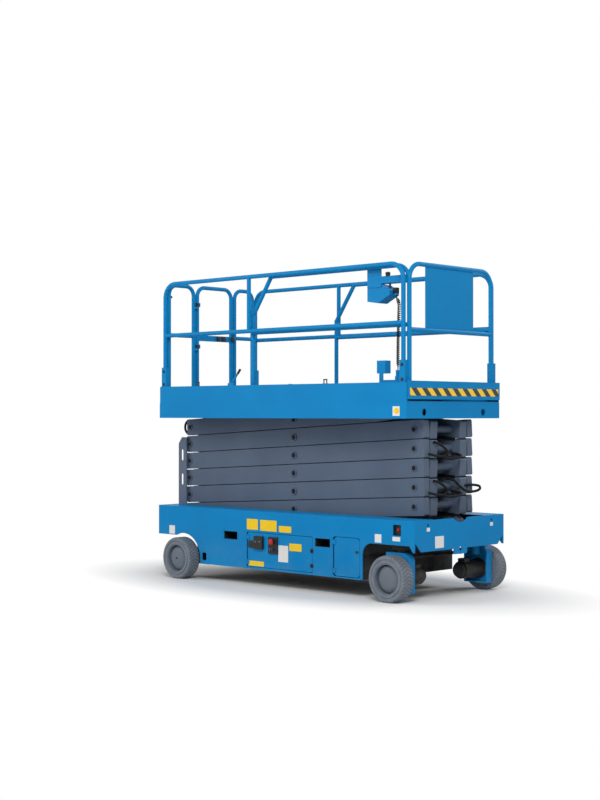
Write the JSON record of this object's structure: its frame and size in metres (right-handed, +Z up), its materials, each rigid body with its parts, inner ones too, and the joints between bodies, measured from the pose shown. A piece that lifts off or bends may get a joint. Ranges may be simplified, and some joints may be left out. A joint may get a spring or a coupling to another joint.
{
  "type": "scissor lift",
  "caption": "Self-propelled electric scissor lift with stacked arms, railed platform with roll-out deck, steered drive wheels, fork pockets and an entry ladder.",
  "frame": {"origin": "on the ground under the middle of the chassis", "axes": "+X to the steered end, +Y to the left side, +Z up"},
  "size_m": [3.1, 1.4, 2.76],
  "materials": {
    "blue_paint": "gloss",
    "arm_paint": "satin",
    "wheel_paint": "satin",
    "black_paint": "satin",
    "ladder_paint": "satin",
    "rod_chrome": "polished",
    "tyre": "matte",
    "black_plastic": "matte",
    "box_plastic": "gloss",
    "battery": "matte",
    "cord": "matte"
  },
  "bodies": {
    "chassis": {"trough": "black_paint", "top_plates": "blue_paint", "belly_box": "black_paint", "fork_pockets": "black_paint", "side_panel_right": "blue_paint", "side_panel_left": "blue_paint", "front_cover": "blue_paint", "rear_cover": "blue_paint", "ladder": "ladder_paint", "batteries": "battery", "front_axle": "black_paint", "rear_axle": "black_paint"},
    "tray_door_right": {"tray_door_right": "blue_paint", "ground_controls": "black_plastic"},
    "tray_door_left": {"tray_door_left": "blue_paint"},
    "access_door_right": {"access_door_right": "blue_paint"},
    "access_door_left": {"access_door_left": "blue_paint"},
    "yoke_right": {"yoke_right": "blue_paint", "drive_motor_right": "black_paint"},
    "yoke_left": {"yoke_left": "blue_paint", "drive_motor_left": "black_paint"},
    "tie_rod": {"tie_rod": "black_paint"},
    "wheel_front_right": {"tyre_front_right": "tyre", "rim_front_right": "wheel_paint"},
    "wheel_front_left": {"tyre_front_left": "tyre", "rim_front_left": "wheel_paint"},
    "wheel_rear_right": {"tyre_rear_right": "tyre", "rim_rear_right": "wheel_paint"},
    "wheel_rear_left": {"tyre_rear_left": "tyre", "rim_rear_left": "wheel_paint"},
    "outer_1": {"outer_arms_1": "arm_paint"},
    "inner_1": {"inner_arms_1": "arm_paint"},
    "outer_2": {"outer_arms_2": "arm_paint"},
    "inner_2": {"inner_arms_2": "arm_paint"},
    "outer_3": {"outer_arms_3": "arm_paint"},
    "inner_3": {"inner_arms_3": "arm_paint"},
    "outer_4": {"outer_arms_4": "arm_paint"},
    "inner_4": {"inner_arms_4": "arm_paint"},
    "outer_5": {"outer_arms_5": "arm_paint"},
    "inner_5": {"inner_arms_5": "arm_paint"},
    "outer_6": {"outer_arms_6": "arm_paint"},
    "inner_6": {"inner_arms_6": "arm_paint"},
    "lower_barrel": {"lower_barrel": "black_paint"},
    "lower_rod": {"lower_rod": "rod_chrome"},
    "upper_barrel": {"upper_barrel": "black_paint"},
    "upper_rod": {"upper_rod": "rod_chrome"},
    "platform": {"platform_deck": "blue_paint", "platform_skirts": "blue_paint", "side_rail_right": "blue_paint", "side_rail_left": "blue_paint", "rear_rails": "blue_paint"},
    "gate": {"gate": "blue_paint"},
    "roll_out": {"roll_out_deck": "blue_paint", "roll_out_rails": "blue_paint", "control_box": "box_plastic", "socket_box": "box_plastic", "control_cord": "cord"}
  },
  "joints": [
    {"name": "lift", "type": "hinge", "parent": "chassis", "child": "outer_1", "pos_m": [-1.42, 0, 0.597], "axis": [0, -1, 0], "range_deg": [0, 48.6]},
    {"name": "mid_pin_1", "type": "hinge", "parent": "outer_1", "child": "inner_1", "pos_m": [-0.04975, 0, 0.67675], "axis": [0, 1, 0], "range_deg": [0, 97.2]},
    {"name": "rear_pin_1", "type": "hinge", "parent": "inner_1", "child": "outer_2", "pos_m": [-1.42, 0, 0.7565], "axis": [0, -1, 0], "range_deg": [0, 97.2]},
    {"name": "mid_pin_2", "type": "hinge", "parent": "outer_2", "child": "inner_2", "pos_m": [-0.04975, 0, 0.83625], "axis": [0, 1, 0], "range_deg": [0, 97.2]},
    {"name": "rear_pin_2", "type": "hinge", "parent": "inner_2", "child": "outer_3", "pos_m": [-1.42, 0, 0.916], "axis": [0, -1, 0], "range_deg": [0, 97.2]},
    {"name": "mid_pin_3", "type": "hinge", "parent": "outer_3", "child": "inner_3", "pos_m": [-0.04975, 0, 0.99575], "axis": [0, 1, 0], "range_deg": [0, 97.2]},
    {"name": "rear_pin_3", "type": "hinge", "parent": "inner_3", "child": "outer_4", "pos_m": [-1.42, 0, 1.0755], "axis": [0, -1, 0], "range_deg": [0, 97.2]},
    {"name": "mid_pin_4", "type": "hinge", "parent": "outer_4", "child": "inner_4", "pos_m": [-0.04975, 0, 1.15525], "axis": [0, 1, 0], "range_deg": [0, 97.2]},
    {"name": "rear_pin_4", "type": "hinge", "parent": "inner_4", "child": "outer_5", "pos_m": [-1.42, 0, 1.235], "axis": [0, -1, 0], "range_deg": [0, 97.2]},
    {"name": "mid_pin_5", "type": "hinge", "parent": "outer_5", "child": "inner_5", "pos_m": [-0.04975, 0, 1.31475], "axis": [0, 1, 0], "range_deg": [0, 97.2]},
    {"name": "rear_pin_5", "type": "hinge", "parent": "inner_5", "child": "outer_6", "pos_m": [-1.42, 0, 1.3945], "axis": [0, -1, 0], "range_deg": [0, 97.2]},
    {"name": "mid_pin_6", "type": "hinge", "parent": "outer_6", "child": "inner_6", "pos_m": [-0.04975, 0, 1.47425], "axis": [0, 1, 0], "range_deg": [0, 97.2]},
    {"name": "platform_pin", "type": "hinge", "parent": "inner_6", "child": "platform", "pos_m": [-1.42, 0, 1.554], "axis": [0, -1, 0], "range_deg": [0, 48.6]},
    {"name": "lower_barrel_pin", "type": "hinge", "parent": "inner_2", "child": "lower_barrel", "pos_m": [-0.04975, 0, 0.83625], "axis": [0, -1, 0], "range_deg": [0, 101.88]},
    {"name": "lower_rod_slide", "type": "slide", "parent": "lower_barrel", "child": "lower_rod", "axis": [0.9975, 0, 0.071], "range_m": [0, 0.17541]},
    {"name": "upper_barrel_pin", "type": "hinge", "parent": "inner_4", "child": "upper_barrel", "pos_m": [-0.04975, 0, 1.15525], "axis": [0, -1, 0], "range_deg": [0, 101.88]},
    {"name": "upper_rod_slide", "type": "slide", "parent": "upper_barrel", "child": "upper_rod", "axis": [0.9975, 0, 0.071], "range_m": [0, 0.17541]},
    {"name": "deck_slide", "type": "slide", "parent": "platform", "child": "roll_out", "axis": [1, 0, 0], "range_m": [0, 0.91]},
    {"name": "gate_hinge", "type": "hinge", "parent": "platform", "child": "gate", "pos_m": [-1.446, -0.216, 2.3], "axis": [0, 0, -1], "range_deg": [0, 90]},
    {"name": "tray_door_right_hinge", "type": "hinge", "parent": "chassis", "child": "tray_door_right", "pos_m": [-0.361, -0.612, 0.322], "axis": [0, 0, -1], "range_deg": [0, 110]},
    {"name": "access_door_right_hinge", "type": "hinge", "parent": "chassis", "child": "access_door_right", "pos_m": [0.672, -0.612, 0.328], "axis": [0, 0, -1], "range_deg": [0, 110]},
    {"name": "tray_door_left_hinge", "type": "hinge", "parent": "chassis", "child": "tray_door_left", "pos_m": [-0.361, 0.612, 0.322], "axis": [0, 0, 1], "range_deg": [0, 110]},
    {"name": "access_door_left_hinge", "type": "hinge", "parent": "chassis", "child": "access_door_left", "pos_m": [0.672, 0.612, 0.328], "axis": [0, 0, 1], "range_deg": [0, 110]},
    {"name": "steer_right", "type": "hinge", "parent": "chassis", "child": "yoke_right", "pos_m": [1.33, -0.51, 0.35], "axis": [0, 0, 1], "range_deg": [-45, 45]},
    {"name": "steer_left", "type": "hinge", "parent": "chassis", "child": "yoke_left", "pos_m": [1.33, 0.51, 0.35], "axis": [0, 0, 1], "range_deg": [-45, 45]},
    {"name": "tie_rod_pin", "type": "hinge", "parent": "yoke_right", "child": "tie_rod", "pos_m": [1.16, -0.51, 0.32], "axis": [0, 0, 1], "range_deg": [-45, 45]},
    {"name": "front_right_spin", "type": "hinge", "parent": "yoke_right", "child": "wheel_front_right", "pos_m": [1.33, -0.6365, 0.1905], "axis": [0, 1, 0], "continuous": true},
    {"name": "front_left_spin", "type": "hinge", "parent": "yoke_left", "child": "wheel_front_left", "pos_m": [1.33, 0.6365, 0.1905], "axis": [0, 1, 0], "continuous": true},
    {"name": "rear_right_spin", "type": "hinge", "parent": "chassis", "child": "wheel_rear_right", "pos_m": [-1.2, -0.6365, 0.1905], "axis": [0, 1, 0], "continuous": true},
    {"name": "rear_left_spin", "type": "hinge", "parent": "chassis", "child": "wheel_rear_left", "pos_m": [-1.2, 0.6365, 0.1905], "axis": [0, 1, 0], "continuous": true}
  ],
  "couplings": [
    {"joint": "mid_pin_1", "follows": "lift", "ratio": 2},
    {"joint": "rear_pin_1", "follows": "lift", "ratio": 2},
    {"joint": "mid_pin_2", "follows": "lift", "ratio": 2},
    {"joint": "rear_pin_2", "follows": "lift", "ratio": 2},
    {"joint": "mid_pin_3", "follows": "lift", "ratio": 2},
    {"joint": "rear_pin_3", "follows": "lift", "ratio": 2},
    {"joint": "mid_pin_4", "follows": "lift", "ratio": 2},
    {"joint": "rear_pin_4", "follows": "lift", "ratio": 2},
    {"joint": "mid_pin_5", "follows": "lift", "ratio": 2},
    {"joint": "rear_pin_5", "follows": "lift", "ratio": 2},
    {"joint": "mid_pin_6", "follows": "lift", "ratio": 2},
    {"joint": "platform_pin", "follows": "lift", "ratio": 1},
    {"joint": "lower_barrel_pin", "follows": "lift", "ratio": 2.0963},
    {"joint": "lower_rod_slide", "follows": "lift", "m_per_rad": 0.2068},
    {"joint": "upper_barrel_pin", "follows": "lift", "ratio": 2.0963},
    {"joint": "upper_rod_slide", "follows": "lift", "m_per_rad": 0.2068},
    {"joint": "steer_left", "follows": "steer_right", "ratio": 1},
    {"joint": "tie_rod_pin", "follows": "steer_right", "ratio": -1}
  ]
}
